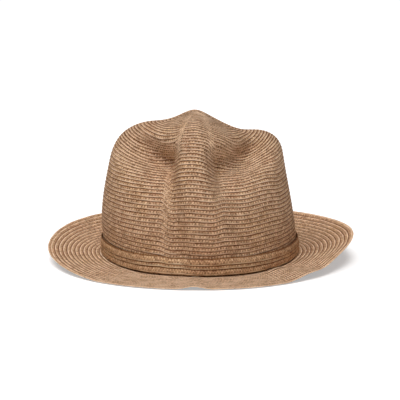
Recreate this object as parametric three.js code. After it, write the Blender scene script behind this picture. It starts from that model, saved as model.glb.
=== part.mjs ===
// Sun hat of sewn straw braid: a blocked crown with two pinched dents, its brim and its band.
// Millimetres, +Z up. The front of the hat faces -Y, and the origin is on the surface that the hat rests on,
// under the middle of its outline.
import * as THREE from "three";

// Driving dimensions
const CROWN_HALF_WIDTH = 86.5; // outside, where crown and brim meet
const CROWN_FRONT = 100; // from the middle of the head to the front, outside
const CROWN_BACK = 102;
const CROWN_HEIGHT = 126.5; // of the blocked crown above its foot, before it is dented
const CROWN_ROUNDNESS = 2.9; // 2 is an ellipse, more is squarer at the shoulder
const STRAW_WALL = 1.6; // two braids lie over each other in a sewn wall
const SEAM_GAP = 0.35; // between pieces that are sewn to each other
const COLLAR_HEIGHT = 8; // of the brim's upright edge inside the crown
const SIDE_RISE = 5.2; // how far the break rises above the table at the sides
const SETTLE = 0.3; // how far the straw gives where it lies on the table
const BRIM_TURN = 1.7; // 1 is a straight brim, more keeps it flat and turns up its edge
const BAND_HEIGHT = 13.4;
const BAND_LIFT = 1.1; // of the band's lower edge above the brim
const BAND_ROWS = 3;
const BAND_THICKNESS = 1.3;
const BAND_GAP = 0.5; // between the band and the crown
const ROW_STEP = 0.45; // how far each row of the band stands out under the one above it

// How finely the surfaces are divided
const COLUMNS = 80;
const FRONT_CROWDING = 0.4; // 0 spaces the columns evenly, more crowds them to the front
const CROWN_ROWS = 22;
const BRIM_STATIONS = [0, 0.08, 0.28, 0.5, 0.7, 0.86, 1]; // from the break to the edge
const PROFILE_STEPS = 800;
const WALL_TURN = 0.04; // radians and millimetres over which the wall's direction is taken, so that the
const WALL_STEP = 3; // inside of the wall stays smooth in the creases

// Each fold pushes the blocked crown in a soft-edged region round a line. "minus" and "plus" say how far it
// reaches towards the negative and the positive side of x, y and z, and "fade" is what is left of the push at
// the far end of the line.
const FOLDS = [
  { name: "left rim dent", from: [-28, -56.5, 100], to: [-67, -58, 108.5],
    minus: [23, 40, 39.5], plus: [7.5, 34, 9], push: [3.5, 23, -8], fade: 1.19 },
  { name: "left crease", from: [-26.5, -70, 84], to: [-9, -129.5, 20.5],
    minus: [33.5, 40, 14], plus: [7.5, 40, 19], push: [2.5, 18.5, -4.5], fade: 0.63 },
  { name: "right rim dent", from: [17, -41.5, 99.5], to: [50, -48.5, 111.5],
    minus: [8, 40, 38], plus: [28.5, 34, 9], push: [-1.5, 17.5, -7], fade: 0.93 },
  { name: "right rim tail", from: [56, -76, 112], to: [75, -45.5, 91.5],
    minus: [20, 40, 39], plus: [11, 34, 8.5], push: [-1.5, 19.5, -4.5], fade: 1.12 },
  { name: "right crease", from: [29, -72, 91], to: [54, -66.5, 18.5],
    minus: [13.5, 40, 8.5], plus: [42, 40, 16], push: [0, 13.5, -3.5], fade: 0.97 },
  { name: "top ridge", from: [-4, -50, 124], to: [-4, 60, 124],
    minus: [12, 40, 34], plus: [12, 40, 34], push: [0, 0, 4], fade: 0.8 },
  { name: "right of the ridge", from: [34, -45, 124], to: [34, 70, 118],
    minus: [25, 40, 34], plus: [20, 40, 34], push: [0, 0, -11], fade: 1 },
  { name: "left of the ridge", from: [-30, -45, 124], to: [-30, 70, 118],
    minus: [16, 40, 34], plus: [16, 40, 34], push: [0, 0, -4], fade: 1 },
  { name: "right side slump", from: [86, -20, 70], to: [86, 20, 50],
    minus: [40, 60, 30], plus: [40, 60, 30], push: [-4, 0, 0], fade: 1 },
  { name: "left side swell", from: [-86, -20, 84], to: [-86, -10, 40],
    minus: [40, 60, 22], plus: [40, 60, 22], push: [-2, 0, 0], fade: 1 },
  { name: "left shoulder", from: [-66, -20, 104], to: [-66, 30, 104],
    minus: [24, 50, 24], plus: [24, 50, 24], push: [-5, 0, 3], fade: 1 },
  { name: "right shoulder", from: [68, -20, 104], to: [68, 30, 104],
    minus: [20, 50, 20], plus: [20, 50, 20], push: [4, 0, 1], fade: 1 },
];
const FOOT_SHARE = 0.3; // of each push that is left at the foot, where the brim holds the crown's shape
const FOOT_REACH = 24; // height over which that grows to the whole push

// The brim's edge by angle round the head, from the front: height of its underside above the table, and
// reach beyond the break.
const EDGE = [
  { angle: -180, height: 22, reach: 48 },
  { angle: -150, height: 22, reach: 49.5 },
  { angle: -120, height: 19, reach: 49.5 },
  { angle: -90, height: 12, reach: 48.5 },
  { angle: -60, height: 5, reach: 48.5 },
  { angle: -35, height: 0, reach: 49 },
  { angle: -12, height: 0, reach: 50 },
  { angle: 0, height: 0, reach: 48 },
  { angle: 14, height: 0, reach: 48 },
  { angle: 32, height: 0, reach: 46 },
  { angle: 47, height: 4, reach: 46 },
  { angle: 60, height: 13, reach: 47 },
  { angle: 75, height: 20, reach: 49.5 },
  { angle: 90, height: 23, reach: 50 },
  { angle: 120, height: 23, reach: 49.5 },
  { angle: 150, height: 22, reach: 49.5 },
];

// Low folds that run out from the break across the brim.
const BRIM_FOLDS = [
  { name: "front fold", angle: -2, halfAngle: 4, height: 2.4 },
  { name: "front right swell", angle: 42, halfAngle: 8, height: 3 },
  { name: "back fold", angle: 180, halfAngle: 4, height: 1.6 },
];

const radians = (degrees) => THREE.MathUtils.degToRad(degrees);

// Angle of each column of points; 0 is the front, and a quarter turn is +X.
const columnAngles = Array.from({ length: COLUMNS }, (_, i) => {
  const turn = (2 * Math.PI * i) / COLUMNS;
  return turn - FRONT_CROWDING * Math.sin(turn);
});

// Point of the head's oval at the break.
function ovalPoint(angle) {
  const length = Math.cos(angle) > 0 ? CROWN_FRONT : CROWN_BACK;
  return new THREE.Vector2(CROWN_HALF_WIDTH * Math.sin(angle), -length * Math.cos(angle));
}

// Level direction square to that oval.
function ovalOutward(angle) {
  const length = Math.cos(angle) > 0 ? CROWN_FRONT : CROWN_BACK;
  return new THREE.Vector2(Math.sin(angle) * length, -Math.cos(angle) * CROWN_HALF_WIDTH).normalize();
}

// The blocked crown's profile, from the tip to the foot, as shares of its radius and height with the length
// of cloth so far.
function crownProfile() {
  const radiusMean = (CROWN_HALF_WIDTH + CROWN_FRONT) / 2;
  const points = [];
  let cloth = 0;
  for (let i = 0; i <= PROFILE_STEPS; i += 1) {
    const phi = (Math.PI / 2) * (i / PROFILE_STEPS);
    const radius = Math.sin(phi) ** (2 / CROWN_ROUNDNESS);
    const height = Math.max(0, Math.cos(phi)) ** (2 / CROWN_ROUNDNESS);
    const last = points[i - 1];
    if (last) {
      cloth += Math.hypot((radius - last.radius) * radiusMean, (height - last.height) * CROWN_HEIGHT);
    }
    points.push({ radius, height, cloth });
  }
  return points;
}

const profile = crownProfile();
const crownCloth = profile[PROFILE_STEPS].cloth; // from the tip down to the foot, about 185 mm

// The profile at a length of cloth from the tip.
function profileAt(cloth) {
  const next = Math.max(1, profile.findIndex((point) => point.cloth >= Math.min(cloth, crownCloth)));
  const a = profile[next - 1];
  const b = profile[next];
  const share = (cloth - a.cloth) / (b.cloth - a.cloth);
  return {
    radius: THREE.MathUtils.lerp(a.radius, b.radius, share),
    height: THREE.MathUtils.lerp(a.height, b.height, share),
  };
}

// Moves a point of the blocked crown by all the folds.
function folded(point) {
  const shift = new THREE.Vector3();
  for (const fold of FOLDS) {
    const from = new THREE.Vector3(...fold.from);
    const along = new THREE.Vector3(...fold.to).sub(from);
    const mean = new THREE.Vector3(...fold.minus).add(new THREE.Vector3(...fold.plus)).divideScalar(2);
    const scaled = along.clone().divide(mean);
    const share = THREE.MathUtils.clamp(
      point.clone().sub(from).divide(mean).dot(scaled) / scaled.lengthSq(), 0, 1);
    const away = point.clone().sub(from).addScaledVector(along, -share);
    const reach = away.toArray().map((value, axis) => (value < 0 ? fold.minus[axis] : fold.plus[axis]));
    const weight = Math.exp(-away.divide(new THREE.Vector3(...reach)).lengthSq());
    shift.addScaledVector(new THREE.Vector3(...fold.push), weight * (1 + (fold.fade - 1) * share));
  }
  const kept = FOOT_SHARE + (1 - FOOT_SHARE) * THREE.MathUtils.smoothstep(point.z, 0, FOOT_REACH);
  return point.clone().addScaledVector(shift, kept);
}

// Height above the table of the brim's underside at the break.
const breakHeight = (angle) => SIDE_RISE * Math.sin(angle) ** 4;

// Height at which the crown stands on the brim.
const footHeight = (angle) => Math.max(0, breakHeight(angle) - SETTLE) + STRAW_WALL + SEAM_GAP;

// Outer surface of the crown, by angle and length of cloth from the tip.
function crownPoint(angle, cloth) {
  const { radius, height } = profileAt(cloth);
  const oval = ovalPoint(angle).multiplyScalar(radius);
  const point = folded(new THREE.Vector3(oval.x, oval.y, height * CROWN_HEIGHT));
  point.z += THREE.MathUtils.lerp(footHeight(angle), footHeight(0), height);
  return point;
}

// Direction square to that surface, pointing out.
function crownOutward(angle, cloth) {
  const low = Math.min(cloth + WALL_STEP, crownCloth);
  const high = Math.max(cloth - WALL_STEP, 0);
  const round = crownPoint(angle + WALL_TURN, cloth).sub(crownPoint(angle - WALL_TURN, cloth));
  const up = crownPoint(angle, high).sub(crownPoint(angle, low));
  return round.cross(up).normalize();
}

// A point that lies a distance under (+) or over (-) the crown's outer surface.
function crownOffset(angle, cloth, depth) {
  return crownPoint(angle, cloth).addScaledVector(crownOutward(angle, cloth), -depth);
}

// Level direction that an upright piece at the crown's foot takes its thickness in.
function footOffset(angle, cloth, depth) {
  const outward = ovalOutward(angle);
  const point = crownPoint(angle, cloth);
  return point.add(new THREE.Vector3(outward.x, outward.y, 0).multiplyScalar(-depth));
}

// A closed ring from one closed section for each column, whose points run the same way round in all.
function ringGeometry(sections) {
  const count = sections[0].length;
  const positions = sections.flat().flatMap((point) => point.toArray());
  const index = [];
  sections.forEach((_, column) => {
    const here = column * count;
    const next = ((column + 1) % sections.length) * count;
    for (let i = 0; i < count; i += 1) {
      const after = (i + 1) % count;
      index.push(here + i, next + i, next + after, here + i, next + after, here + after);
    }
  });
  const geometry = new THREE.BufferGeometry();
  geometry.setAttribute("position", new THREE.Float32BufferAttribute(positions, 3));
  geometry.setIndex(index);
  return geometry;
}

// A closed dome from one open section for each column, running from the first pole to the last one.
function domeGeometry(first, sections, last) {
  const count = sections[0].length;
  const positions = [...first.toArray(), ...sections.flat().flatMap((point) => point.toArray())];
  positions.push(...last.toArray());
  const end = 1 + sections.length * count;
  const index = [];
  sections.forEach((_, column) => {
    const here = 1 + column * count;
    const next = 1 + ((column + 1) % sections.length) * count;
    index.push(0, here, next);
    for (let i = 0; i + 1 < count; i += 1) {
      index.push(here + i, here + i + 1, next + i + 1, here + i, next + i + 1, next + i);
    }
    index.push(here + count - 1, end, next + count - 1);
  });
  const geometry = new THREE.BufferGeometry();
  geometry.setAttribute("position", new THREE.Float32BufferAttribute(positions, 3));
  geometry.setIndex(index);
  return geometry;
}

// Crown: one hollow wall, open below.
function crownGeometry() {
  const lengths = Array.from({ length: CROWN_ROWS }, (_, i) => (crownCloth * (i + 1)) / CROWN_ROWS);
  const sections = columnAngles.map((angle) => {
    const outer = lengths.map((cloth) => crownPoint(angle, cloth));
    const inner = lengths.map((cloth) => crownOffset(angle, cloth, STRAW_WALL));
    inner[CROWN_ROWS - 1] = footOffset(angle, crownCloth, STRAW_WALL);
    return [...outer, ...inner.reverse()];
  });
  const tip = crownPoint(0, 0);
  return domeGeometry(tip, sections, tip.clone().add(new THREE.Vector3(0, 0, -STRAW_WALL)));
}

// Value of the edge table at an angle, smooth all the way round.
function edgeValue(angle, column) {
  const count = EDGE.length;
  const degrees = THREE.MathUtils.euclideanModulo(THREE.MathUtils.radToDeg(angle) + 180, 360) - 180;
  const row = (i) => {
    const turns = Math.floor(i / count);
    const entry = EDGE[i - turns * count];
    return { angle: entry.angle + 360 * turns, value: entry[column] };
  };
  const next = EDGE.findIndex((entry) => entry.angle > degrees);
  const index = next < 0 ? count : next;
  const [before, a, b, after] = [row(index - 2), row(index - 1), row(index), row(index + 1)];
  const span = b.angle - a.angle;
  const slopeA = ((b.value - before.value) / (b.angle - before.angle)) * span;
  const slopeB = ((after.value - a.value) / (after.angle - a.angle)) * span;
  const u = (degrees - a.angle) / span;
  return (2 * u ** 3 - 3 * u ** 2 + 1) * a.value + (u ** 3 - 2 * u ** 2 + u) * slopeA
    + (3 * u ** 2 - 2 * u ** 3) * b.value + (u ** 3 - u ** 2) * slopeB;
}

// Height that the brim's low folds add, which is nothing at the break and grows outwards.
function brimFold(angle, share) {
  return BRIM_FOLDS.reduce((sum, fold) => {
    const turn = THREE.MathUtils.euclideanModulo(angle - radians(fold.angle) + Math.PI, 2 * Math.PI) - Math.PI;
    const weight = Math.exp(-((turn / radians(fold.halfAngle)) ** 2));
    return sum + fold.height * weight * THREE.MathUtils.smoothstep(share, 0, 0.2);
  }, 0);
}

// Underside of the brim, by angle and share of the way from the break (0) to the edge (1).
function brimUnderside(angle, share) {
  const foot = crownPoint(angle, crownCloth);
  const outward = ovalOutward(angle).multiplyScalar(edgeValue(angle, "reach") * share);
  const rise = (edgeValue(angle, "height") - breakHeight(angle)) * share ** BRIM_TURN;
  const height = breakHeight(angle) + rise + brimFold(angle, share);
  return new THREE.Vector3(foot.x + outward.x, foot.y + outward.y, Math.max(0, height - SETTLE));
}

// Brim: the flat part, with the upright collar that stands inside the crown's foot.
function brimGeometry() {
  const collarOuter = STRAW_WALL + SEAM_GAP;
  const collarInner = collarOuter + STRAW_WALL;
  const collarTop = crownCloth - COLLAR_HEIGHT;
  const sections = columnAngles.map((angle) => {
    const under = BRIM_STATIONS.map((share) => brimUnderside(angle, share));
    const lift = new THREE.Vector3(0, 0, STRAW_WALL);
    const over = under.map((point) => point.clone().add(lift));
    const innerFoot = footOffset(angle, crownCloth, collarInner);
    innerFoot.z = under[0].z;
    const outerFoot = footOffset(angle, crownCloth, collarOuter);
    outerFoot.z = over[0].z;
    const innerTop = footOffset(angle, collarTop, collarInner);
    const outerTop = footOffset(angle, collarTop, collarOuter);
    return [innerTop, innerFoot, ...under, ...over.reverse(), outerFoot, outerTop];
  });
  return ringGeometry(sections);
}

// Band: rows of braid round the foot of the crown, each a little proud of the one above it.
function bandGeometry() {
  const rowHeight = BAND_HEIGHT / BAND_ROWS;
  const sections = columnAngles.map((angle) => {
    const at = (height, depth) => footOffset(angle, crownCloth - BAND_LIFT - height, -depth);
    const section = [];
    for (let row = BAND_ROWS; row >= 0; row -= 1) {
      section.push(at(row * rowHeight, BAND_GAP));
    }
    for (let row = 0; row < BAND_ROWS; row += 1) {
      const face = BAND_GAP + BAND_THICKNESS + ROW_STEP * (BAND_ROWS - 1 - row);
      section.push(at(row * rowHeight, face), at((row + 1) * rowHeight, face));
    }
    return section;
  });
  return ringGeometry(sections);
}

const straw = new THREE.MeshStandardMaterial({ color: 0xb08c6e, roughness: 0.75, metalness: 0 });
const bandStraw = new THREE.MeshStandardMaterial({ color: 0x9c7658, roughness: 0.75, metalness: 0 });

function piece(name, geometry, material) {
  const mesh = new THREE.Mesh(geometry, material);
  mesh.name = name;
  return mesh;
}

const hat = new THREE.Group();
hat.add(piece("crown", crownGeometry(), straw));
hat.add(piece("brim", brimGeometry(), straw));
hat.add(piece("hat_band", bandGeometry(), bandStraw));

// The outline's middle goes over the origin.
const outline = new THREE.Box3().setFromObject(hat);
const middle = outline.getCenter(new THREE.Vector3());
hat.position.set(-middle.x, -middle.y, 0);

export default hat;
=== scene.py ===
import math

import bpy
import numpy as np
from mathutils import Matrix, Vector


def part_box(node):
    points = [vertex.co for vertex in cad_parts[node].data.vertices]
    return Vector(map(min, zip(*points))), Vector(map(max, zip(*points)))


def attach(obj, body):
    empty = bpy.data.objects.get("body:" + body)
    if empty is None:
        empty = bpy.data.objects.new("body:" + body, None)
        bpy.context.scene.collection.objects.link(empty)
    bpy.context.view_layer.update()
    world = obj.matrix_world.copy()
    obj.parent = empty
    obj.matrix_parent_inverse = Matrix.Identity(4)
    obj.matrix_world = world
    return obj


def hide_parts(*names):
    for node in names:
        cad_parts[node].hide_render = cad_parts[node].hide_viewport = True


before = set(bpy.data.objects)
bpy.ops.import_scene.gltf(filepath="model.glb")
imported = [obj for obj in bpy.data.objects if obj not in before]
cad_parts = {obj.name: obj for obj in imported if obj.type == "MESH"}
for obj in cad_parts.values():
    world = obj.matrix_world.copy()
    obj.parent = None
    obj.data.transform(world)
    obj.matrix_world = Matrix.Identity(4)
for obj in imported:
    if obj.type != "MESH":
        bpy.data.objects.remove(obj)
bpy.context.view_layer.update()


# Crown
# The head part of a soft sun hat: one long braid of plaited paper straw, sewn round and round from the tip
# down, each turn lapped under the one above it. It was steamed over a block, and then pinched at its front.

MM = 0.001
CROWN_HALF_WIDTH = 86.5
CROWN_FRONT = 100.0
CROWN_BACK = 102.0
CROWN_HEIGHT = 126.5
CROWN_ROUNDNESS = 2.9
STRAW_WALL = 1.6
SEAM_GAP = 0.35
SIDE_RISE = 5.2
SETTLE = 0.3
FOOT_SHARE = 0.3
FOOT_REACH = 24.0

# A fold pushes the blocked crown in a soft-edged region round a line. "minus" and "plus" say how far it reaches
# towards the negative and the positive side of x, y and z, and "fade" what is left of it at the line's far end.
FOLDS = [
    dict(name="left rim dent", start=(-27, -62, 100), end=(-62, -55, 113),
         minus=(16, 40, 24), plus=(7, 34, 9), push=(3, 22, -8), fade=0.75),
    dict(name="left crease", start=(-27, -74, 94), end=(-15, -104, 6),
         minus=(30, 40, 12), plus=(6.5, 40, 12), push=(0, 16, -2), fade=0.5),
    dict(name="right rim dent", start=(18, -66, 98), end=(42, -58, 111),
         minus=(8, 40, 26), plus=(18, 34, 9), push=(-2, 20, -8), fade=0.9),
    dict(name="right rim tail", start=(42, -58, 112), end=(66, -50, 106),
         minus=(14, 40, 24), plus=(12, 34, 8), push=(-1, 7, -3), fade=0.5),
    dict(name="right crease", start=(16, -74, 92), end=(36, -96, 26),
         minus=(10, 40, 18), plus=(44, 40, 12), push=(0, 10, -2), fade=0.4),
    dict(name="top ridge", start=(-4, -50, 124), end=(-4, 60, 124),
         minus=(12, 40, 34), plus=(12, 40, 34), push=(0, 0, 4), fade=0.8),
    dict(name="right of the ridge", start=(34, -45, 124), end=(34, 70, 118),
         minus=(25, 40, 34), plus=(20, 40, 34), push=(0, 0, -11), fade=1),
    dict(name="left of the ridge", start=(-30, -45, 124), end=(-30, 70, 118),
         minus=(16, 40, 34), plus=(16, 40, 34), push=(0, 0, -4), fade=1),
    dict(name="right side slump", start=(86, -20, 70), end=(86, 20, 50),
         minus=(40, 60, 30), plus=(40, 60, 30), push=(-4, 0, 0), fade=1),
    dict(name="left side swell", start=(-86, -20, 84), end=(-86, -10, 40),
         minus=(40, 60, 22), plus=(40, 60, 22), push=(-2, 0, 0), fade=1),
    dict(name="left shoulder", start=(-66, -20, 104), end=(-66, 30, 104),
         minus=(24, 50, 24), plus=(24, 50, 24), push=(-5, 0, 3), fade=1),
    dict(name="right shoulder", start=(68, -20, 104), end=(68, 30, 104),
         minus=(20, 50, 20), plus=(20, 50, 20), push=(4, 0, 1), fade=1),
]


def smooth_share(value, low, high):
    """Rises smoothly from 0 at low to 1 at high."""
    share = np.clip((value - low) / (high - low), 0, 1)
    return share * share * (3 - 2 * share)


def oval_length(angle):
    """Distance from the crown's middle to its front or its back."""
    return np.where(np.cos(angle) > 0, CROWN_FRONT, CROWN_BACK)


def oval_outward(angle):
    """Level directions square to the oval of the head."""
    outward = np.stack([np.sin(angle) * oval_length(angle), -np.cos(angle) * CROWN_HALF_WIDTH, 0 * angle], -1)
    return outward / np.linalg.norm(outward, axis=-1, keepdims=True)


PROFILE_STEPS = 4000
slant = np.linspace(0, math.pi / 2, PROFILE_STEPS)
profile_radius = np.sin(slant) ** (2 / CROWN_ROUNDNESS)
profile_height = np.clip(np.cos(slant), 0, 1) ** (2 / CROWN_ROUNDNESS)
profile_steps = np.hypot(np.diff(profile_radius) * (CROWN_HALF_WIDTH + CROWN_FRONT) / 2,
                         np.diff(profile_height) * CROWN_HEIGHT)
profile_cloth = np.concatenate([[0], np.cumsum(profile_steps)])
CROWN_CLOTH = profile_cloth[-1]


def folded(points):
    """Points of the blocked crown, moved by all the folds."""
    shift = np.zeros_like(points)
    for fold in FOLDS:
        start, minus, plus = (np.array(fold[key], float) for key in ("start", "minus", "plus"))
        mean = (minus + plus) / 2
        line = np.array(fold["end"], float) - start
        scaled = line / mean
        share = np.clip(np.sum((points - start) / mean * scaled, -1) / (scaled @ scaled), 0, 1)
        away = points - start - share[..., None] * line
        away = away / np.where(away < 0, minus, plus)
        weight = np.exp(-np.sum(away * away, -1)) * (1 + (fold["fade"] - 1) * share)
        shift += weight[..., None] * np.array(fold["push"], float)
    kept = FOOT_SHARE + (1 - FOOT_SHARE) * smooth_share(points[..., 2:], 0, FOOT_REACH)
    return points + shift * kept


def break_height(angle):
    """Height above the table of the brim's underside where it meets the crown."""
    return SIDE_RISE * np.sin(angle) ** 4


def foot_height(angle):
    """Height at which the crown stands on the brim."""
    return np.maximum(0, break_height(angle) - SETTLE) + STRAW_WALL + SEAM_GAP


def crown_outside(angle, cloth):
    """Outer surface of the crown in millimetres, by angle from the front and length of cloth from the tip."""
    radius = np.interp(cloth, profile_cloth, profile_radius)
    height = np.interp(cloth, profile_cloth, profile_height)
    x = CROWN_HALF_WIDTH * np.sin(angle) * radius
    y = -oval_length(angle) * np.cos(angle) * radius
    points = folded(np.stack([x, y, height * CROWN_HEIGHT], -1))
    points[..., 2] += foot_height(angle) * (1 - height) + foot_height(0.0) * height
    return points


# The folds stretch the form here and there, but the rows of a real crown stay evenly spaced. A row's way
# from the tip is therefore a share of the folded length from the tip to the foot, given in millimetres of
# unfolded cloth.
MERIDIANS = 361
STATIONS = 401
meridians = np.linspace(0, 2 * math.pi, MERIDIANS)
stations = np.linspace(0, CROWN_CLOTH, STATIONS)
meridian_grid, station_grid = np.meshgrid(meridians, stations, indexing="ij")
blocked = crown_outside(meridian_grid, station_grid)
station_steps = np.linalg.norm(np.diff(blocked, axis=1), axis=2)
folded_lengths = np.concatenate([np.zeros((len(meridians), 1)), np.cumsum(station_steps, axis=1)], axis=1)
cloth_of_way = np.stack([np.interp(stations, lengths * CROWN_CLOTH / lengths[-1], stations)
                         for lengths in folded_lengths])


def crown_at_way(angle, way):
    """Outer surface of the crown by the way from the tip, between the nearest meridians and stations."""
    column = (angle % (2 * math.pi)) / meridians[1]
    row = np.clip(way, 0, CROWN_CLOTH) / stations[1]
    left = np.minimum(column.astype(int), len(meridians) - 2)
    top = np.minimum(row.astype(int), len(stations) - 2)
    u, v = column - left, row - top
    above = cloth_of_way[left, top] * (1 - u) + cloth_of_way[left + 1, top] * u
    below = cloth_of_way[left, top + 1] * (1 - u) + cloth_of_way[left + 1, top + 1] * u
    return crown_outside(angle, above * (1 - v) + below * v)


# Rows of braid are counted from the tip. They climb towards both sides, and are closer there behind the band.
CROWN_PITCH = 3.35
TIP_WAY = 2.0
FOOT_EDGE = 2.4
CLIMBS = [
    dict(side="left", height=6.5, angle=-80, half_angle=60),
    dict(side="right", height=6.5, angle=80, half_angle=50),
]
HIGHEST_CLIMB = CLIMBS[0]["height"]
CLIMB_FROM = 55.0
CLIMB_TO = 95.0
HIDDEN_HEIGHT = 12.0
LAST_CROWN_ROW = (CROWN_CLOTH + HIGHEST_CLIMB - FOOT_EDGE - TIP_WAY) / CROWN_PITCH


def crown_row(angle, row):
    """Middle of a row on the crown's outer surface, by angle and number."""
    nominal = TIP_WAY + row * CROWN_PITCH
    climb = 0
    for side in CLIMBS:
        away = (angle - math.radians(side["angle"]) + math.pi) % (2 * math.pi) - math.pi
        climb = climb + side["height"] * np.exp(-(away / math.radians(side["half_angle"])) ** 2)
    way = nominal - climb * smooth_share(nominal, CLIMB_FROM, CLIMB_TO)
    hidden_from = CROWN_CLOTH - HIDDEN_HEIGHT
    squeeze = (HIDDEN_HEIGHT - FOOT_EDGE) / (HIDDEN_HEIGHT - FOOT_EDGE + HIGHEST_CLIMB - climb)
    way = np.where(way > hidden_from, hidden_from + (way - hidden_from) * squeeze, way)
    return crown_at_way(angle, way)


FACING_TURN = 0.04
FACING_ROWS = 0.8


def facing_of(surface, angle, row):
    """Directions square to a surface, averaged over most of a row each way."""
    run = surface(angle, row + FACING_ROWS) - surface(angle, row - FACING_ROWS)
    turn = surface(angle + FACING_TURN, row) - surface(angle - FACING_TURN, row)
    facing = np.cross(run, turn)
    return facing / np.linalg.norm(facing, axis=-1, keepdims=True)


# The frame has its origin under the middle of the whole hat's outline, and the forms here under the crown's.
crown_low, crown_high = (np.array(corner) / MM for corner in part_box("crown"))
hat_shift = (crown_low + crown_high) / 2 - (blocked.min((0, 1)) + blocked.max((0, 1))) / 2
hat_shift[2] = 0

BRAID_STEP = 1.95
FEWEST_STEPS = 12
END_TAPER = 14.0
END_SIZE = 0.4
OVERLAP = 1.5
LEAST_SPACING = 1.8
GIRTH_POINTS = 73


def wound(surface, last, end_angle):
    """Angles and row numbers along a path that winds out from row 0, and ends after a level turn."""
    turns = last + 1
    start_angle = end_angle - 2 * math.pi * turns
    shares = []
    for turn in range(math.ceil(turns)):
        circle = np.linspace(0, 2 * math.pi, GIRTH_POINTS)
        ring = surface(circle, np.full(circle.shape, min(turn + 0.5, last)))
        girth = np.linalg.norm(np.diff(ring, axis=0), axis=1).sum()
        steps = max(FEWEST_STEPS, round(girth / BRAID_STEP))
        shares.append(turn + np.arange(steps) / steps)
    share = np.concatenate(shares)
    share = share[share < turns]
    return start_angle + 2 * math.pi * share, np.minimum(share, last)


def laid(surface, angle, row, depth):
    """A row laid at a depth under a surface: its middle line, facing and width, and how much of it shows."""
    facing = facing_of(surface, angle, row)
    spacing = np.linalg.norm(surface(angle, row + 0.5) - surface(angle, row - 0.5), axis=-1)
    shown = np.maximum(spacing, LEAST_SPACING)
    return dict(line=surface(angle, row) - facing * depth, facing=facing, width=shown + OVERLAP, shown=shown)


def braid_paths(name, rows):
    """A mesh of open paths in the frame's place, from laid rows."""
    mesh = bpy.data.meshes.new(name)
    edges = []
    start = 0
    for row in rows:
        count = len(row["line"])
        edges += [(start + i, start + i + 1) for i in range(count - 1)]
        start += count
        lengths = np.linalg.norm(np.diff(row["line"], axis=0), axis=1)
        along = np.concatenate([[0], np.cumsum(lengths)])
        taper = smooth_share(along[-1] - along, 0, min(END_TAPER, along[-1] / 3))
        row["size"] = END_SIZE + (1 - END_SIZE) * taper
        row["along"] = along + start
    points = np.concatenate([row["line"] for row in rows]) + hat_shift
    mesh.from_pydata((points * MM).tolist(), edges, [])
    stored = mesh.attributes.new("facing", "FLOAT_VECTOR", "POINT")
    facings = np.concatenate([row["facing"] for row in rows])
    stored.data.foreach_set("vector", facings.ravel().astype(np.float32))
    for key, scale in (("width", MM), ("shown", MM), ("along", MM), ("size", 1)):
        stored = mesh.attributes.new(key, "FLOAT", "POINT")
        values = np.concatenate([row[key] for row in rows]) * scale
        stored.data.foreach_set("value", values.astype(np.float32))
    return mesh


def add_node(tree, kind, inputs=(), output=0, **settings):
    """Adds a node with its settings and links, and returns one of its output sockets."""
    made = tree.nodes.new(kind)
    for key, value in settings.items():
        setattr(made, key, value)
    for key, value in inputs.items() if isinstance(inputs, dict) else enumerate(inputs):
        if isinstance(value, bpy.types.NodeSocket):
            tree.links.new(value, made.inputs[key])
        else:
            made.inputs[key].default_value = value
    return made.outputs[output] if made.outputs else None


# The tree sweeps a flat braid along each path. Its lower edge stands out by the lap, as the row below lies
# under it.
braid_tree = bpy.data.node_groups.new("Sewn braid", "GeometryNodeTree")
braid_tree.interface.new_socket("Paths", in_out="INPUT", socket_type="NodeSocketGeometry")
for socket_name in ("Thickness", "Lap", "Wander", "Swell"):
    braid_tree.interface.new_socket(socket_name, in_out="INPUT", socket_type="NodeSocketFloat")
for socket_name in ("Corners", "Seed"):
    braid_tree.interface.new_socket(socket_name, in_out="INPUT", socket_type="NodeSocketInt")
braid_tree.interface.new_socket("Straw", in_out="INPUT", socket_type="NodeSocketMaterial")
braid_tree.interface.new_socket("Braid", in_out="OUTPUT", socket_type="NodeSocketGeometry")
given = add_node(braid_tree, "NodeGroupInput").node.outputs

SEED_STEP = 7.3
WANDER_LENGTH = 35.0
SWELL_LENGTH = 6.0
HAIR = 0.01
facing = add_node(braid_tree, "GeometryNodeInputNamedAttribute", {"Name": "facing"}, "Attribute",
                  data_type="FLOAT_VECTOR")
along = add_node(braid_tree, "GeometryNodeInputNamedAttribute", {"Name": "along"}, "Attribute",
                 data_type="FLOAT")
size = add_node(braid_tree, "GeometryNodeInputNamedAttribute", {"Name": "size"}, "Attribute",
                data_type="FLOAT")
width = add_node(braid_tree, "GeometryNodeInputNamedAttribute", {"Name": "width"}, "Attribute",
                 data_type="FLOAT")
paths = add_node(braid_tree, "GeometryNodeMeshToCurve", [given["Paths"]])
line = add_node(braid_tree, "GeometryNodeInputTangent")
across = add_node(braid_tree, "ShaderNodeVectorMath", [line, facing], operation="CROSS_PRODUCT")
seeded = add_node(braid_tree, "ShaderNodeMath", [given["Seed"], SEED_STEP], operation="MULTIPLY")
wave_place = add_node(braid_tree, "ShaderNodeMath", [along, 1 / (WANDER_LENGTH * MM), seeded],
                      operation="MULTIPLY_ADD")
wave = add_node(braid_tree, "ShaderNodeTexNoise", {"W": wave_place, "Scale": 1.0}, noise_dimensions="1D")
swing = add_node(braid_tree, "ShaderNodeMath", [wave, 0.5], operation="SUBTRACT")
drift = add_node(braid_tree, "ShaderNodeMath", [swing, given["Wander"]], operation="MULTIPLY")
offset = add_node(braid_tree, "ShaderNodeVectorMath", {0: across, "Scale": drift}, operation="SCALE")
wandering = add_node(braid_tree, "GeometryNodeSetPosition", {"Geometry": paths, "Offset": offset})
crossed = add_node(braid_tree, "GeometryNodeStoreNamedAttribute",
                   {"Geometry": wandering, "Name": "across", "Value": across}, data_type="FLOAT_VECTOR")
faced = add_node(braid_tree, "GeometryNodeSetCurveNormal", {"Curve": crossed, "Normal": facing}, mode="FREE")

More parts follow.
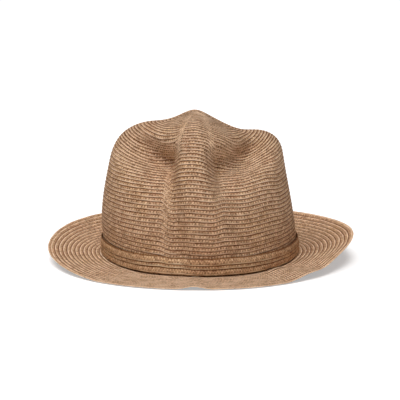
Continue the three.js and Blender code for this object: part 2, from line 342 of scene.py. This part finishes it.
# In the section, x looks out of the hat. It is swept a hair wide, and each point then goes out to the row's
# width. A circle's corners are moved towards the two edges, which makes it a flat ribbon with blunt edges.
circle = add_node(braid_tree, "GeometryNodeCurvePrimitiveCircle",
                  {"Resolution": given["Corners"], "Radius": 1.0})
corner = add_node(braid_tree, "ShaderNodeSeparateXYZ", [add_node(braid_tree, "GeometryNodeInputPosition")]).node
from_middle = add_node(braid_tree, "ShaderNodeMath", [corner.outputs["X"]], operation="ABSOLUTE")
to_far_edge = add_node(braid_tree, "ShaderNodeMath", [2.0, from_middle], operation="SUBTRACT")
ribbon_side = add_node(braid_tree, "ShaderNodeMath", [corner.outputs["X"], to_far_edge], operation="MULTIPLY")
half_thickness = add_node(braid_tree, "ShaderNodeMath", [given["Thickness"], 0.5], operation="MULTIPLY")
lapped = add_node(braid_tree, "ShaderNodeMath", [ribbon_side, given["Lap"]], operation="MULTIPLY")
rise = add_node(braid_tree, "ShaderNodeMath", [corner.outputs["Y"], half_thickness, lapped],
                operation="MULTIPLY_ADD")
hair = add_node(braid_tree, "ShaderNodeMath", [ribbon_side, HAIR * MM], operation="MULTIPLY")
section_place = add_node(braid_tree, "ShaderNodeCombineXYZ", [rise, hair])
measured = add_node(braid_tree, "GeometryNodeStoreNamedAttribute",
                    {"Geometry": circle, "Name": "side", "Value": ribbon_side}, data_type="FLOAT")
section = add_node(braid_tree, "GeometryNodeSetPosition", {"Geometry": measured, "Position": section_place})

swell_place = add_node(braid_tree, "ShaderNodeMath", [along, 1 / (SWELL_LENGTH * MM), seeded],
                       operation="MULTIPLY_ADD")
swell_wave = add_node(braid_tree, "ShaderNodeTexNoise", {"W": swell_place, "Scale": 1.0}, noise_dimensions="1D")
swell_swing = add_node(braid_tree, "ShaderNodeMath", [swell_wave, 0.5], operation="SUBTRACT")
swelling = add_node(braid_tree, "ShaderNodeMath", [swell_swing, given["Swell"], size], operation="MULTIPLY_ADD")
swept = add_node(braid_tree, "GeometryNodeCurveToMesh",
                 {"Curve": faced, "Profile Curve": section, "Scale": swelling, "Fill Caps": True})
side = add_node(braid_tree, "GeometryNodeInputNamedAttribute", {"Name": "side"}, "Attribute", data_type="FLOAT")
swept_across = add_node(braid_tree, "GeometryNodeInputNamedAttribute", {"Name": "across"}, "Attribute",
                        data_type="FLOAT_VECTOR")
swollen = add_node(braid_tree, "ShaderNodeMath", [width, swelling], operation="MULTIPLY")
half_side = add_node(braid_tree, "ShaderNodeMath", [side, 0.5], operation="MULTIPLY")
reach = add_node(braid_tree, "ShaderNodeMath", [swollen, half_side], operation="MULTIPLY")
spread = add_node(braid_tree, "ShaderNodeVectorMath", {0: swept_across, "Scale": reach}, operation="SCALE")
wide = add_node(braid_tree, "GeometryNodeSetPosition", {"Geometry": swept, "Offset": spread})
from_edge = add_node(braid_tree, "ShaderNodeMath", [0.5, half_side], operation="SUBTRACT")
from_lip = add_node(braid_tree, "ShaderNodeMath", [from_edge, width], operation="MULTIPLY")
unrolled = add_node(braid_tree, "ShaderNodeCombineXYZ", [along, from_lip])
mapped = add_node(braid_tree, "GeometryNodeStoreNamedAttribute",
                  {"Geometry": wide, "Name": "UVMap", "Value": unrolled}, data_type="FLOAT2", domain="CORNER")
smooth = add_node(braid_tree, "GeometryNodeSetShadeSmooth", {"Geometry": mapped})
real = add_node(braid_tree, "GeometryNodeRealizeInstances", {"Geometry": smooth})
dressed = add_node(braid_tree, "GeometryNodeSetMaterial", {"Geometry": real, "Material": given["Straw"]})
add_node(braid_tree, "NodeGroupOutput", [dressed])


def sewn_braid(name, paths, **sizes):
    """Runs the braid's tree along paths, with its named inputs, and keeps the result as a plain mesh."""
    guide = bpy.data.objects.new(name + "_paths", paths)
    bpy.context.scene.collection.objects.link(guide)
    modifier = guide.modifiers.new("Sewn braid", "NODES")
    modifier.node_group = braid_tree
    for item in braid_tree.interface.items_tree:
        if item.name in sizes:
            modifier[item.identifier] = sizes[item.name]
    depsgraph = bpy.context.evaluated_depsgraph_get()
    mesh = bpy.data.meshes.new_from_object(guide.evaluated_get(depsgraph), depsgraph=depsgraph)
    for key in ("facing", "width", "along", "size", "across", "side"):
        mesh.attributes.remove(mesh.attributes[key])
    bpy.data.objects.remove(guide)
    piece = bpy.data.objects.new(name, mesh)
    bpy.context.scene.collection.objects.link(piece)
    return piece


def linear(hex_colour):
    """Linear colour with alpha from an sRGB hex value."""
    channels = [int(hex_colour[i:i + 2], 16) / 255 for i in (0, 2, 4)]
    return [c / 12.92 if c <= 0.04045 else ((c + 0.055) / 1.055) ** 2.4 for c in channels] + [1.0]


# The UV map's second value is the distance from a row's lower edge, and "shown" where the row above it begins
LIP_END = 0.7
LIP_START = 1.25
# Painted shade on each row: it starts this many millimetres below the edge of the row above ("shown") and is
# full from the second number on
PAINTED_SHADE_START = 1.2
PAINTED_SHADE_END = 0.3
STRAND_STEP = 2.5
STRAND_RISE = 3.8
GRAIN_SIZE = 2.6
PATCH_SIZE = 30.0
DASH_LENGTH = 16.0
FIBRE_SIZE = 0.8
BEAD_RISE = 1.2
RELIEF = 0.12


def plaited_paper_straw(name, shades, warm, golden, painted_shade, worn_and_highlight):
    """Plaited paper straw: flat twisted strands in many near tones, with dark gaps, painted shade where each
    row comes out from under the row above, and paler edges that are partly rubbed wear and partly painted
    highlight.
    """
    material = bpy.data.materials.new(name)
    material.use_nodes = True
    tree = material.node_tree
    tree.nodes.clear()
    unrolled = add_node(tree, "ShaderNodeUVMap", uv_map="UVMap")
    place = add_node(tree, "ShaderNodeSeparateXYZ", [unrolled]).node.outputs
    inside = add_node(tree, "ShaderNodeTexCoord", output="Object")

    # Two sets of strands cross at the slant, and pass over and under each other like a chessboard
    steps = add_node(tree, "ShaderNodeMath", [place["X"], 1 / (STRAND_STEP * MM)], operation="MULTIPLY")
    numbers, bulges = [], []
    for rise in (STRAND_RISE, -STRAND_RISE):
        counted = add_node(tree, "ShaderNodeMath", [place["Y"], 1 / (rise * MM), steps],
                           operation="MULTIPLY_ADD")
        numbers.append(add_node(tree, "ShaderNodeMath", [counted], operation="FLOOR"))
        share = add_node(tree, "ShaderNodeMath", [counted], operation="FRACT")
        half_turn = add_node(tree, "ShaderNodeMath", [share, math.pi], operation="MULTIPLY")
        bulges.append(add_node(tree, "ShaderNodeMath", [half_turn], operation="SINE"))
    both = add_node(tree, "ShaderNodeMath", numbers, operation="ADD")
    over = add_node(tree, "ShaderNodeMath", [both, 2.0], operation="FLOORED_MODULO")
    upper = add_node(tree, "ShaderNodeMix", {"Factor": over, "A": bulges[0], "B": bulges[1]}, data_type="FLOAT")
    lower = add_node(tree, "ShaderNodeMix", {"Factor": over, "A": bulges[1], "B": bulges[0]}, data_type="FLOAT")
    dive = add_node(tree, "ShaderNodeMath", [lower, 0.6, 0.4], operation="MULTIPLY_ADD")
    bulge = add_node(tree, "ShaderNodeMath", [upper, dive], operation="MULTIPLY")

    # The gaps between strands are dark, no two strands are alike, and the twisted paper is finely mottled
    out_of_gap = add_node(tree, "ShaderNodeMapRange", [bulge, 0.15, 0.55, 0.0, 0.5])
    crossing = add_node(tree, "ShaderNodeCombineXYZ", numbers)
    chance = add_node(tree, "ShaderNodeTexWhiteNoise", {"Vector": crossing}, "Value", noise_dimensions="2D")
    own = add_node(tree, "ShaderNodeMath", [chance, 0.2, out_of_gap], operation="MULTIPLY_ADD")
    twist = add_node(tree, "ShaderNodeTexNoise",
                     {"Vector": unrolled, "Scale": 1 / (GRAIN_SIZE * MM), "Detail": 3.0, "Roughness": 0.85},
                     noise_dimensions="2D")
    mottled = add_node(tree, "ShaderNodeMapRange", [twist, 0.36, 0.64, -0.2, 0.55])
    tone = add_node(tree, "ShaderNodeMath", [own, mottled], operation="ADD")
    ramp = add_node(tree, "ShaderNodeValToRGB", [tone])
    stops = ramp.node.color_ramp.elements
    stops[0].color, stops[1].color = linear(shades[0]), linear(shades[-1])
    for i, shade in enumerate(shades[1:-1], 1):
        stops.new(i / (len(shades) - 1)).color = linear(shade)

    # The dye took a little unevenly, in soft patches
    patches = add_node(tree, "ShaderNodeTexNoise",
                       {"Vector": inside, "Scale": 1 / (PATCH_SIZE * MM), "Detail": 3.0}, noise_dimensions="3D")
    warmth = add_node(tree, "ShaderNodeMapRange", [patches, 0.5, 0.68, 0.0, 0.35])
    goldness = add_node(tree, "ShaderNodeMapRange", [patches, 0.5, 0.34, 0.0, 0.35])
    warmed = add_node(tree, "ShaderNodeMix", {"Factor": warmth, "A": ramp, "B": linear(warm)}, "Result",
                      data_type="RGBA", blend_type="MULTIPLY")
    gilded = add_node(tree, "ShaderNodeMix", {"Factor": goldness, "A": warmed, "B": linear(golden)}, "Result",
                      data_type="RGBA", blend_type="MULTIPLY")

    # Each row gets painted shade where it comes out from under the row above, and a paler lip in dashes along
    # its lower edge that is partly rubbed wear and partly painted highlight
    shown = add_node(tree, "ShaderNodeAttribute", output="Fac", attribute_name="shown")
    # Painted shade: a darker colour multiplied in where the row comes out from under the row above
    under_next = add_node(tree, "ShaderNodeMath", [place["Y"], shown], operation="SUBTRACT")
    painted_shade_mask = add_node(tree, "ShaderNodeMapRange", [under_next, -PAINTED_SHADE_START * MM, -PAINTED_SHADE_END * MM])
    with_painted_shade = add_node(tree, "ShaderNodeMix", {"Factor": painted_shade_mask, "A": gilded, "B": linear(painted_shade)}, "Result",
                       data_type="RGBA", blend_type="MULTIPLY")
    # Pale lip: partly rubbed wear, partly a painted highlight where light catches the lower edge of each row
    dash_place = add_node(tree, "ShaderNodeMath", [place["X"], 1 / (DASH_LENGTH * MM)], operation="MULTIPLY")
    dashes = add_node(tree, "ShaderNodeTexNoise", {"W": dash_place, "Scale": 1.0, "Detail": 2.0},
                      noise_dimensions="1D")
    rubbed_and_highlight_dashes = add_node(tree, "ShaderNodeMapRange", [dashes, 0.4, 0.6, 0.35, 0.95])
    edge = add_node(tree, "ShaderNodeMapRange", [place["Y"], LIP_START * MM, LIP_END * MM],
                    interpolation_type="SMOOTHSTEP")
    pale_lip_and_highlight = add_node(tree, "ShaderNodeMath", [rubbed_and_highlight_dashes, edge], operation="MULTIPLY")
    coloured = add_node(tree, "ShaderNodeMix", {"Factor": pale_lip_and_highlight, "A": with_painted_shade, "B": linear(worn_and_highlight)}, "Result",
                        data_type="RGBA")

    # The strands stand out a tenth of a millimetre, with fine fibres in them, and the edge is a little bead
    fibres = add_node(tree, "ShaderNodeTexNoise",
                      {"Vector": inside, "Scale": 1 / (FIBRE_SIZE * MM), "Detail": 2.0}, noise_dimensions="3D")
    strand_relief = add_node(tree, "ShaderNodeMath", [fibres, 0.5, bulge], operation="MULTIPLY_ADD")
    relief = add_node(tree, "ShaderNodeMath", [edge, BEAD_RISE, strand_relief], operation="MULTIPLY_ADD")
    bump = add_node(tree, "ShaderNodeBump", {"Height": relief, "Distance": RELIEF * MM, "Strength": 1.0})
    surface = add_node(tree, "ShaderNodeBsdfPrincipled",
                       {"Base Color": coloured, "Roughness": 0.7, "IOR": 1.4, "Specular IOR Level": 0.15,
                        "Normal": bump})
    add_node(tree, "ShaderNodeOutputMaterial", {"Surface": surface})
    return material


tan_straw = plaited_paper_straw("Tan plaited paper straw",
                                shades=("60432F", "926D53", "AC8464", "C49B78", "EAC5A0"),
                                warm="F4DCCC", golden="F4E8C8", painted_shade="98765C", worn_and_highlight="F4D2B2")
LAP = 0.36
crown_path = wound(crown_row, LAST_CROWN_ROW, math.pi)

# The braid's first end is tucked straight under the tip, and closes the eye of the coil.
TUCK_REACH = 6.0
TUCK_WIDTH = 7.0
TUCK_DEPTH = 1.6
TUCK_POINTS = 9
from_tip = np.linspace(-TUCK_REACH, TUCK_REACH, TUCK_POINTS)
tucked_line = crown_at_way(np.where(from_tip < 0, 0.0, math.pi), np.abs(from_tip)) - (0, 0, TUCK_DEPTH)
tucked_end = dict(line=tucked_line,
                  facing=np.tile((0.0, 0.0, 1.0), (len(from_tip), 1)), width=np.full(len(from_tip), TUCK_WIDTH),
                  shown=np.full(len(from_tip), TUCK_WIDTH))
crown_rows = braid_paths("crown_rows", [laid(crown_row, *crown_path, STRAW_WALL / 2), tucked_end])
BRAID_THICKNESS = 0.75
crown = sewn_braid("crown_braid", crown_rows, Thickness=BRAID_THICKNESS * MM, Lap=LAP * MM, Wander=0.7 * MM,
                   Swell=0.05, Corners=6, Seed=11, Straw=tan_straw)
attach(crown, "root")
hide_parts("crown")


# Brim
# The same braid sewn on round and round below the crown. Its first rows stand up inside the crown's foot,
# where the two are stitched together, and the rest lie nearly flat in front and turn up at the sides and back.

BRAID_WIDTH = CROWN_PITCH + OVERLAP
COLLAR_HEIGHT = 8.0
BRIM_TURN = 1.7
FOLD_START = 0.2

# Height of the underside and reach from the crown, along the brim's edge, by angle from the front in degrees
EDGE = [
    dict(angle=-180, height=22, reach=48), dict(angle=-150, height=22, reach=49.5),
    dict(angle=-120, height=19, reach=49.5), dict(angle=-90, height=12, reach=48.5),
    dict(angle=-60, height=5, reach=48.5), dict(angle=-35, height=0, reach=49),
    dict(angle=-12, height=0, reach=50), dict(angle=0, height=0, reach=48),
    dict(angle=14, height=0, reach=48), dict(angle=32, height=0, reach=46),
    dict(angle=47, height=4, reach=46), dict(angle=60, height=13, reach=47),
    dict(angle=75, height=20, reach=49.5), dict(angle=90, height=23, reach=50),
    dict(angle=120, height=23, reach=49.5), dict(angle=150, height=22, reach=49.5),
]
BRIM_FOLDS = [
    dict(name="front fold", angle=-2, half_angle=4, height=2.4),
    dict(name="front right swell", angle=42, half_angle=8, height=3),
    dict(name="back fold", angle=180, half_angle=4, height=1.6),
]


def edge_value(angle, key):
    """A smooth closed curve through the values of EDGE."""
    degrees = (np.degrees(angle) + 180) % 360 - 180
    turns = (-360, 0, 360)
    at = np.array([row["angle"] + turn for turn in turns for row in EDGE], float)
    values = np.array([row[key] for turn in turns for row in EDGE], float)
    i = np.searchsorted(at, degrees, side="right")
    before, low, high, after = (at[i + k] for k in (-2, -1, 0, 1))
    value_before, value_low, value_high, value_after = (values[i + k] for k in (-2, -1, 0, 1))
    slope_low = (value_high - value_before) / (high - before) * (high - low)
    slope_high = (value_after - value_low) / (after - low) * (high - low)
    u = (degrees - low) / (high - low)
    return ((2 * u**3 - 3 * u**2 + 1) * value_low + (u**3 - 2 * u**2 + u) * slope_low
            + (3 * u**2 - 2 * u**3) * value_high + (u**3 - u**2) * slope_high)


def brim_middle(angle, way):
    """Points in the middle of the brim, by angle and distance from the crown on a brim of middling reach."""
    share = way / BRIM_REACH
    foot = crown_outside(angle, np.full_like(angle, CROWN_CLOTH))
    points = foot + oval_outward(angle) * (edge_value(angle, "reach") * share)[..., None]
    flat_share = np.maximum(share, 0)
    height = break_height(angle)
    height = height + (edge_value(angle, "height") - height) * flat_share ** BRIM_TURN
    for fold in BRIM_FOLDS:
        away = (angle - math.radians(fold["angle"]) + math.pi) % (2 * math.pi) - math.pi
        bump = fold["height"] * np.exp(-(away / math.radians(fold["half_angle"])) ** 2)
        height = height + bump * smooth_share(flat_share, 0, FOLD_START)
    points[..., 2] = np.maximum(0, height - SETTLE) + STRAW_WALL / 2
    return points


BRIM_REACH = 50.0
BRIM_PITCH = 3.7
collar_depth = 1.5 * STRAW_WALL + SEAM_GAP
BRIM_START = -collar_depth - STRAW_WALL / 2 + BRAID_WIDTH / 2


def brim_row(angle, row):
    """Middle of a row on the brim, by angle and number."""
    return brim_middle(angle, BRIM_START + row * BRIM_PITCH)


# A level row comes before the winding, so that the brim closes up to the crown all round.
LEVEL_ROW = -0.25
BRIM_LIFT = 0.2
ROW_LAP_END = 0.03
ROW_POINTS = 330
once_round = np.linspace(0, 2 * math.pi * (1 + ROW_LAP_END), ROW_POINTS) + math.pi
brim_path = wound(brim_row, (BRIM_REACH - BRAID_WIDTH / 2 - BRIM_START) / BRIM_PITCH, math.pi)
brim_rows = [laid(brim_row, *brim_path, -BRIM_LIFT),
             laid(brim_row, once_round, np.full_like(once_round, LEVEL_ROW), -BRIM_LIFT)]


def collar_row(angle, row):
    """Middle of a row inside the crown's foot."""
    return crown_at_way(angle, CROWN_CLOTH - COLLAR_HEIGHT + BRAID_WIDTH / 2 + row * CROWN_PITCH)


COLLAR_ROWS = (0, 0.9, 1.5)
for row in COLLAR_ROWS:
    brim_rows.append(laid(collar_row, once_round, np.full_like(once_round, row), collar_depth))
brim = sewn_braid("brim_braid", braid_paths("brim_rows", brim_rows), Thickness=BRAID_THICKNESS * MM,
                  Lap=LAP * MM, Wander=0.5 * MM, Swell=0.05, Corners=8, Seed=12, Straw=tan_straw)
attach(brim, "root")
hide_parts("brim")


# Hat band
# Three rows of the same braid, sewn to each other and laid round the crown's foot to cover its seam. Its two
# ends are lapped at the back. A few hidden stitches hold it, so that its lower edge stands off the brim.

BAND_LIFT = 1.1
BAND_LAP = 0.5
BAND_ROWS = [
    dict(name="lowest row", middle=2.95, proud=1.5, width=5.9, shown=4.7),
    dict(name="middle row", middle=6.8, proud=1.4, width=4.2, shown=2.9),
    # Nothing lies over the top row; its shown is less than its width so that painted shade falls along its
    # upper edge, against the crown
    dict(name="top row", middle=10.55, proud=1.3, width=5.9, shown=5.5),
]
band_straw = plaited_paper_straw("Darker plaited paper straw",
                                 shades=("644630", "9A765A", "AE8664", "C49A76", "E2C098"),
                                 warm="F4DCCC", golden="F4E8C8", painted_shade="AA9078", worn_and_highlight="F2D8B4")


def under_band(angle, row):
    """The crown under the band, by angle and number of the crown's rows below the band's lower edge."""
    return crown_at_way(angle, CROWN_CLOTH - BAND_LIFT + row * CROWN_PITCH)


band_rows = []
for row in BAND_ROWS:
    rows_below = np.full_like(once_round, -row["middle"] / CROWN_PITCH)
    braid = laid(under_band, once_round, rows_below, -row["proud"])
    for key in ("width", "shown"):
        braid[key] = np.full_like(once_round, row[key])
    band_rows.append(braid)
hat_band = sewn_braid("band_braid", braid_paths("band_rows", band_rows), Thickness=BRAID_THICKNESS * MM,
                      Lap=BAND_LAP * MM, Wander=0.4 * MM, Swell=0.05, Corners=8, Seed=13, Straw=band_straw)
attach(hat_band, "root")
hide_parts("hat_band")


# Floor, light and camera
# A white studio table that runs out of sight, and looks a little overexposed. One broad soft light is above the
# front, a weaker one above the left and a faint one above the back, with even white light from all round.

FLOOR_HALF = 4.0
FLOOR_GLOW = 0.4
floor_mesh = bpy.data.meshes.new("studio_floor")
floor_corners = [(-FLOOR_HALF, -FLOOR_HALF, 0), (FLOOR_HALF, -FLOOR_HALF, 0),
                 (FLOOR_HALF, FLOOR_HALF, 0), (-FLOOR_HALF, FLOOR_HALF, 0)]
floor_mesh.from_pydata(floor_corners, [], [(0, 1, 2, 3)])
floor = bpy.data.objects.new("studio_floor", floor_mesh)
bpy.context.scene.collection.objects.link(floor)
white_table = bpy.data.materials.new("Matt white table")
white_table.use_nodes = True
white_paint = white_table.node_tree.nodes["Principled BSDF"]
white_paint.inputs["Base Color"].default_value = linear("FCFCFC")
white_paint.inputs["Roughness"].default_value = 0.9
white_paint.inputs["Emission Color"].default_value = linear("FFFFFF")
looked_at = add_node(white_table.node_tree, "ShaderNodeLightPath", output="Is Camera Ray")
overexposed = add_node(white_table.node_tree, "ShaderNodeMath", [looked_at, FLOOR_GLOW], operation="MULTIPLY")
white_table.node_tree.links.new(overexposed, white_paint.inputs["Emission Strength"])
floor_mesh.materials.append(white_table)

LIGHTS = [
    dict(name="broad front light", turn=0, height=60, strength=1.7),
    dict(name="left light", turn=-60, height=60, strength=0.95),
    dict(name="back light", turn=180, height=60, strength=0.25),
]
LIGHT_SPREAD = math.radians(26)
for lamp in LIGHTS:
    light = bpy.data.lights.new(lamp["name"], "SUN")
    light.angle = LIGHT_SPREAD
    light.energy = lamp["strength"]
    holder = bpy.data.objects.new(lamp["name"], light)
    holder.rotation_euler = (math.radians(90 - lamp["height"]), 0, math.radians(lamp["turn"]))
    bpy.context.scene.collection.objects.link(holder)
SOFT_LIGHT = 0.11
BACKDROP = 1.05
world = bpy.data.worlds.new("Studio")
bpy.context.scene.world = world
world.use_nodes = True
sky = world.node_tree
sky.nodes.clear()
seen = add_node(sky, "ShaderNodeLightPath", output="Is Camera Ray")
brightness = add_node(sky, "ShaderNodeMapRange", [seen, 0.0, 1.0, SOFT_LIGHT, BACKDROP])
white = add_node(sky, "ShaderNodeBackground", {"Color": linear("FFFFFF"), "Strength": brightness})
add_node(sky, "ShaderNodeOutputWorld", {"Surface": white})
bpy.context.scene.view_settings.view_transform = "Standard"

CAMERA_DISTANCE = 1.3
CAMERA_ELEVATION = math.radians(8.5)
AIM_HEIGHT = 0.051
MM_PER_PIXEL = 0.89
PICTURE_PIXELS = 400
SENSOR = 36.0
camera_data = bpy.data.cameras.new("Camera")
camera_data.sensor_width = SENSOR
camera_data.lens = SENSOR * CAMERA_DISTANCE / (PICTURE_PIXELS * MM_PER_PIXEL * MM)
camera = bpy.data.objects.new("Camera", camera_data)
aim = Vector((hat_shift[0] * MM, hat_shift[1] * MM, AIM_HEIGHT))
back = Vector((0, -math.cos(CAMERA_ELEVATION), math.sin(CAMERA_ELEVATION)))
camera.location = aim + back * CAMERA_DISTANCE
camera.rotation_euler = (math.pi / 2 - CAMERA_ELEVATION, 0, 0)
bpy.context.scene.collection.objects.link(camera)
bpy.context.scene.camera = camera
